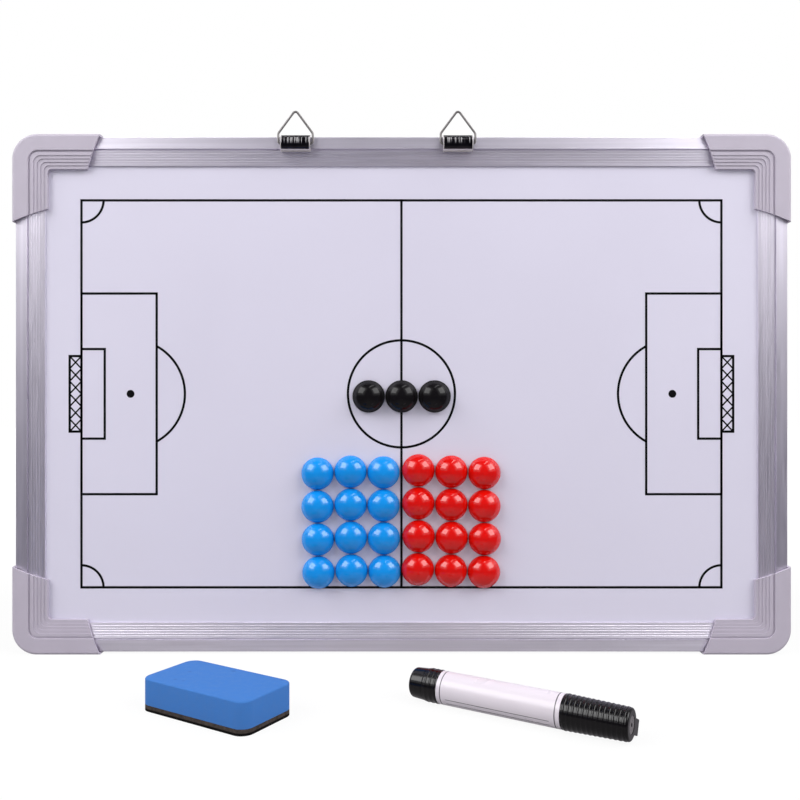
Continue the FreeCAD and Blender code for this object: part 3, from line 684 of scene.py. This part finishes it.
def clip_finish(name, node):
    """Dark plated spring sheet, a little wavy, with painted highlights at its ends and foot and a
    painted reflection in streaks.
    """
    low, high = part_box(node)
    ends = (high.x - low.x) / 2 - CLIP_END_HIGHLIGHT
    foot = low.z + CLIP_FOOT_HIGHLIGHT
    crest = high.z - CLIP_STREAK_TOP
    tail = crest - CLIP_STREAK_LENGTH
    finish, tree = new_finish(name)
    sheet = place_group(tree, MOTTLE, Patch_Scale=260, Grain_Scale=1600)
    vary_colour(tree, sheet["Patch"], linear(34, 33, 36), linear(62, 60, 64))
    vary_roughness(tree, sheet["Grain"], low=0.1, high=0.22)
    raise_skin(tree, sheet["Patch"], strength=0.5, depth=0.0006)
    across, _, level = axes(tree, object_place(tree))
    # Painted highlight: the ends and the foot are turned pale, standing for glints on the sheet's
    # edges.
    off = off_from(tree, across, (low.x + high.x) / 2)
    on_ends = soft_step(tree, off, ends, ends + EDGE_SOFTNESS)
    on_foot = soft_step(tree, level, foot, foot - EDGE_SOFTNESS)
    edge_highlight = value_math(tree, "MAXIMUM", on_ends, on_foot)
    # Painted reflection: short pale streaks below the crest stand for a lamp mirrored in the
    # curved front.
    below = soft_step(tree, level, crest, crest - EDGE_SOFTNESS)
    fading = soft_step(tree, level, tail, tail + CLIP_STREAK_FADE)
    brush = place_group(tree, BRUSH, Stretch=CLIP_STREAK_STRETCH)
    dashes = soft_step(tree, brush["Bands"], CLIP_STREAK_DARK, CLIP_STREAK_BRIGHT)
    streaks = value_math(tree, "MULTIPLY", dashes, fading, below)
    lay_over(tree, streaks, linear(168, 166, 168))
    lay_over(tree, edge_highlight, linear(226, 220, 222))
    # Less metallic where the painted highlight and reflection lie, so they show as pale colour.
    highlit = value_math(tree, "MAXIMUM", edge_highlight, streaks)
    plating = soft_step(tree, highlit, 0.0, 1.0, low=1.0, high=CLIP_HIGHLIGHT_METALLIC)
    lead(tree, plating, shader_socket(tree, "Metallic"))
    return finish


def pen_moulding(name):
    return skin_finish(
        name, PEN_COLOUR, roughness=0.14, darker=0.75, patch_scale=180, grain_scale=1400,
        bump=0.05, depth=0.00002, shine=0.36,
    )


def cap_finish():
    """The pen's black moulding, with a grey disc on the cap's end round a dark mark."""
    finish = pen_moulding("pen_cap_black")
    tree = finish.node_tree
    pen = place_group(tree, PEN_PLACE)
    off = pen["Off Axis"]
    inside = soft_step(tree, off, CAP_DISC_RADIUS, CAP_DISC_RADIUS - EDGE_SOFTNESS)
    outside = soft_step(tree, off, CAP_MARK_RADIUS, CAP_MARK_RADIUS + EDGE_SOFTNESS)
    end = soft_step(tree, pen["Along"], CAP_DISC_FROM, CAP_DISC_FROM + EDGE_SOFTNESS)
    disc = value_math(tree, "MULTIPLY", inside, outside, end)
    lay_over(tree, disc, linear(100, 95, 98))
    return finish


def label_finish():
    """White film with a plain dark ring near each end and an empty ruled band on the near side."""
    finish = skin_finish(
        "label_film", linear(222, 214, 223), roughness=0.3, darker=0.985, patch_scale=80,
        grain_scale=900, bump=0.02, depth=0.00001,
    )
    tree = finish.node_tree
    pen = place_group(tree, PEN_PLACE)
    from_middle = off_from(tree, pen["Along"], 0.0)
    rings = line_mask(tree, from_middle, LABEL_RING_AT, LABEL_RING_WIDTH)
    low_rule = line_mask(tree, pen["Height"], LABEL_RULE_LOW, LABEL_RULE_WIDTH)
    high_rule = line_mask(tree, pen["Height"], LABEL_RULE_HIGH, LABEL_RULE_WIDTH)
    rules = value_math(tree, "MAXIMUM", low_rule, high_rule)
    near = soft_step(tree, pen["Side"], 0.0, -EDGE_SOFTNESS)
    length = LABEL_RULE_HALF_LENGTH
    within = soft_step(tree, from_middle, length, length - EDGE_SOFTNESS)
    band = value_math(tree, "MULTIPLY", rules, near, within)
    lay_over(tree, value_math(tree, "MAXIMUM", rings, band), linear(74, 70, 78))
    return finish


def foam_finish():
    """Closed-cell foam: fine pores, soft patches and painted shade in a few small nicks."""
    finish = skin_finish(
        "blue_foam", linear(62, 118, 191), roughness=0.9, darker=0.95, patch_scale=320,
        grain_scale=2400, bump=0.4, depth=0.0002, shine=0.3,
    )
    tree = finish.node_tree
    cells = tree.nodes.new("ShaderNodeTexVoronoi")
    lead(tree, FOAM_NICK_SCALE, cells.inputs["Scale"])
    lead(tree, object_place(tree), cells.inputs["Vector"])
    # Painted shade: darker blue spots stand for the shade in small nicks.
    nick_shade = soft_step(tree, cells.outputs["Distance"], FOAM_NICK_EDGE, FOAM_NICK_HEART)
    lay_over(tree, nick_shade, linear(54, 100, 168))
    return finish


def felt_finish():
    """Pressed felt: brown-grey fibres above a near-black painted contact shadow along its foot."""
    finish, tree = new_finish("pressed_felt", shine=0.15)
    shader_socket(tree, "Roughness").default_value = 0.95
    fibre = place_group(tree, MOTTLE, Patch_Scale=600, Grain_Scale=2600)
    vary_colour(tree, fibre["Patch"], linear(54, 48, 46), linear(80, 71, 67))
    raise_skin(tree, fibre["Grain"], strength=0.6, depth=0.0003)
    _, _, level = axes(tree, object_place(tree))
    # Painted shadow: the felt's lowest band is near black, standing for the contact shadow on the
    # floor.
    foot = soft_step(tree, level, FELT_SHADOW_HEIGHT, FELT_SHADOW_HEIGHT - EDGE_SOFTNESS)
    lay_over(tree, foot, linear(9, 8, 8))
    return finish


def wear(piece, finish):
    """Gives a piece this finish alone."""
    piece.data.materials.clear()
    piece.data.materials.append(finish)


def make_finishes(pitch, foam, felt):
    """Every finish, put on the pieces made here and on the part's own nodes by their names."""
    lacquer = skin_finish(
        "white_lacquer", linear(217, 213, 231), roughness=0.42, darker=0.985, patch_scale=12,
        grain_scale=900, bump=0.02, depth=0.00002,
    )
    ink = skin_finish(
        "pitch_ink", linear(9, 8, 11), roughness=0.55, darker=0.9, patch_scale=200,
        grain_scale=2000, bump=0.05, depth=0.00001, shine=0.1,
    )
    moulding = skin_finish(
        "grey_moulding", linear(186, 178, 193), roughness=0.45, darker=0.96, patch_scale=70,
        grain_scale=1800, bump=0.08, depth=0.00003,
    )
    plug = skin_finish(
        "plug_plastic", linear(70, 70, 72), roughness=0.5, darker=0.9, patch_scale=80,
        grain_scale=1500, bump=0.05, depth=0.00002,
    )
    core = skin_finish(
        "fibre_core", linear(170, 140, 105), roughness=0.9, darker=0.8, patch_scale=300,
        grain_scale=1200, bump=0.3, depth=0.0002,
    )
    nib = skin_finish(
        "felt_nib", linear(26, 26, 26), roughness=0.95, darker=0.8, patch_scale=400,
        grain_scale=2400, bump=0.4, depth=0.0002,
    )
    along = drawn_metal(
        "rail_drawn_along", RAIL_COLOUR, roughness=0.52, stretch=DRAWN_ALONG,
        spread=0.7, turn=0.25, metallic=0.92,
    )
    upright = drawn_metal(
        "rail_drawn_upright", RAIL_COLOUR, roughness=0.52, stretch=DRAWN_UPRIGHT,
        spread=0.7, turn=0.0, metallic=0.96,
    )
    backing = drawn_metal(
        "backing_sheet", linear(190, 190, 194), roughness=0.42, stretch=ROLLED_ALONG
    )
    screw = drawn_metal("screw_steel", linear(170, 170, 174), roughness=0.35, stretch=NO_LINES)
    wire = drawn_metal(
        "ring_wire", linear(136, 132, 132), roughness=0.3, stretch=NO_LINES, metallic=0.35
    )
    black = pen_moulding("pen_black")
    foam_skin = foam_finish()
    felt_pad = felt_finish()
    counters = {
        "blue": counter_finish(
            "blue_counter", linear(16, 143, 228), roughness=0.05, side_roughness=0.2, shine=0.6
        ),
        "red": counter_finish(
            "red_counter", linear(216, 13, 6), roughness=0.05, side_roughness=0.2, shine=0.6
        ),
        "black": counter_finish(
            "black_counter", linear(18, 16, 18), roughness=0.13, side_roughness=0.95, shine=0.21
        ),
    }
    wear(pitch, ink)
    wear(foam, foam_skin)
    wear(felt, felt_pad)
    named = {
        "writing_sheet": lacquer,
        "panel_core": core,
        "backing_sheet": backing,
        "lower_rail": along,
        "upper_rail": along,
        "left_rail": upright,
        "right_rail": upright,
        "corner_screws": screw,
        "left_hanger_clip": clip_finish("left_clip_plating", "left_hanger_clip"),
        "right_hanger_clip": clip_finish("right_clip_plating", "right_hanger_clip"),
        "pen_label": label_finish(),
        "pen_cap": cap_finish(),
        "pen_nib": nib,
        "pen_ink_rod": nib,
        "eraser_foam": foam_skin,
        "eraser_felt": felt_pad,
    }
    for name, node in NODES.items():
        if name in named:
            wear(node, named[name])
        elif "_counter_" in name:
            wear(node, counters[name.split("_")[0]])
        elif name.endswith("_corner"):
            wear(node, moulding)
        elif name.endswith("_ring"):
            wear(node, wire)
        elif name.startswith("pen_"):
            wear(node, black)
        else:
            wear(node, plug)


# Studio

def seen_directly(tree):
    """1 for a ray that shows the stage itself, also mirrored or through a piece, 0 for fill."""
    path = tree.nodes.new("ShaderNodeLightPath")
    return value_math(
        tree,
        "MAXIMUM",
        path.outputs["Is Camera Ray"],
        path.outputs["Is Glossy Ray"],
        path.outputs["Is Transmission Ray"],
    )


def show_mixed(tree, output_kind, share, first, second):
    """Leads a mix of two shaders to the tree's output."""
    mix = tree.nodes.new("ShaderNodeMixShader")
    out = tree.nodes.new(output_kind)
    lead(tree, share, mix.inputs["Fac"])
    lead(tree, first, mix.inputs[1])
    lead(tree, second, mix.inputs[2])
    lead(tree, mix.outputs["Shader"], out.inputs["Surface"])


def make_floor():
    """A pale matt floor that looks white, and wholly so away from the set."""
    nothing_selected()
    bpy.ops.mesh.primitive_plane_add(size=FLOOR_SIZE, location=(0, 0, 0))
    floor = bpy.context.object
    floor.name = "studio_floor"
    finish = bpy.data.materials.new("studio_floor")
    finish.use_nodes = True
    tree = finish.node_tree
    tree.nodes.clear()
    matt = tree.nodes.new("ShaderNodeBsdfDiffuse")
    lead(tree, FLOOR_GREY, matt.inputs["Color"])
    glow = tree.nodes.new("ShaderNodeEmission")
    lead(tree, WHITE, glow.inputs["Color"])
    lead(tree, FLOOR_GLOW, glow.inputs["Strength"])
    far = reach(tree, object_place(tree))
    fade = soft_step(tree, far, FLOOR_FADE_FROM, FLOOR_FADE_TO, low=FLOOR_NEAR_SHARE)
    share = value_math(tree, "MULTIPLY", seen_directly(tree), fade)
    show_mixed(
        tree, "ShaderNodeOutputMaterial", share, matt.outputs["BSDF"], glow.outputs["Emission"]
    )
    wear(floor, finish)


def make_world():
    """White where the background is seen, and a weak fill light otherwise."""
    world = bpy.data.worlds.new("studio")
    bpy.context.scene.world = world
    world.use_nodes = True
    tree = world.node_tree
    tree.nodes.clear()
    shades = []
    for colour, strength in ((FILL_COLOUR, FILL_STRENGTH), (WHITE, 1.0)):
        shade = tree.nodes.new("ShaderNodeBackground")
        lead(tree, colour, shade.inputs["Color"])
        lead(tree, strength, shade.inputs["Strength"])
        shades.append(shade.outputs["Background"])
    show_mixed(tree, "ShaderNodeOutputWorld", seen_directly(tree), *shades)


def make_dark_room():
    """What shiny pieces mirror beside the lamps: a lit table, a dim room, a paler one behind."""
    nothing_selected()
    bpy.ops.mesh.primitive_uv_sphere_add(
        segments=ROOM_SEGMENTS, ring_count=ROOM_RINGS, radius=ROOM_RADIUS, location=(0, 0, 0)
    )
    room = bpy.context.object
    room.name = "studio_dark_room"
    bpy.ops.object.mode_set(mode="EDIT")
    bpy.ops.mesh.select_all(action="SELECT")
    bpy.ops.mesh.bisect(
        plane_co=(0, 0, ROOM_FLOOR), plane_no=(0, 0, -1), clear_outer=True, use_fill=True
    )
    bpy.ops.object.mode_set(mode="OBJECT")
    finish, tree = new_finish("studio_dark_room", shine=0.0)
    shader_socket(tree, "Base Color").default_value = BLACK
    shader_socket(tree, "Emission Strength").default_value = 1.0
    place = object_place(tree)
    table = reach(tree, stretched(tree, place, (ROOM_TABLE_SQUEEZE, 1.0, 1.0)))
    far = soft_step(tree, table, 0.0, ROOM_TABLE_FAR)
    vary_colour(tree, far, ROOM_TABLE_GLOW, ROOM_GLOW, "Emission Color", start=0.0, end=1.0)
    _, deep, _ = axes(tree, place)
    behind = soft_step(tree, deep, FACE_Y, FACE_Y + ROOM_BACK_FADE)
    lay_over(tree, behind, ROOM_BACK_GLOW, "Emission Color")
    wear(room, finish)
    room.visible_camera = False
    room.visible_diffuse = False
    room.visible_shadow = False


def softbox(name, offset, width, height, watts):
    """A lamp panel set off from the middle of the board's face and turned to it."""
    aside, deep, above = offset
    place = Vector((aside, FACE_Y + deep, BOARD_MIDDLE_Z + above))
    middle = Vector((0, FACE_Y, BOARD_MIDDLE_Z))
    bpy.ops.object.light_add(type="AREA", location=place)
    lamp = bpy.context.object
    lamp.name = name
    lamp.data.shape = "RECTANGLE"
    lamp.data.size = width
    lamp.data.size_y = height
    lamp.data.energy = watts
    lamp.rotation_euler = (middle - place).to_track_quat("-Z", "Y").to_euler()


def make_lights():
    """A wide and a smaller, brighter panel on each side, one behind and a strip overhead."""
    for name, side in (("left", -1), ("right", 1)):
        wide = (side * SOFTBOX_ASIDE, -LAMPS_AHEAD, SOFTBOX_ABOVE)
        core = (side * CORE_ASIDE, -LAMPS_AHEAD, CORE_ABOVE)
        softbox(name + "_softbox", wide, SOFTBOX_WIDTH, SOFTBOX_HEIGHT, SOFTBOX_WATTS)
        softbox(name + "_core", core, CORE_WIDTH, CORE_HEIGHT, CORE_WATTS)
    softbox("back_softbox", BACK_PLACE, SOFTBOX_WIDTH, SOFTBOX_HEIGHT, BACK_WATTS)
    softbox("overhead_strip", STRIP_PLACE, STRIP_WIDTH, STRIP_HEIGHT, STRIP_WATTS)


def make_camera():
    bpy.ops.object.camera_add(
        location=(CAMERA_X, FACE_Y - CAMERA_AHEAD, CAMERA_HEIGHT),
        rotation=(STAND_UP, 0, 0),
    )
    camera = bpy.context.object
    camera.data.sensor_width = SENSOR_WIDTH
    camera.data.lens = SENSOR_WIDTH * FOCAL_SHARE
    camera.data.clip_start = VIEW_NEAR
    camera.data.clip_end = VIEW_FAR
    bpy.context.scene.camera = camera


make_camera()
make_finishes(make_pitch(), *make_block())
make_floor()
make_dark_room()
make_world()
make_lights()
bpy.context.scene.view_settings.view_transform = "Standard"
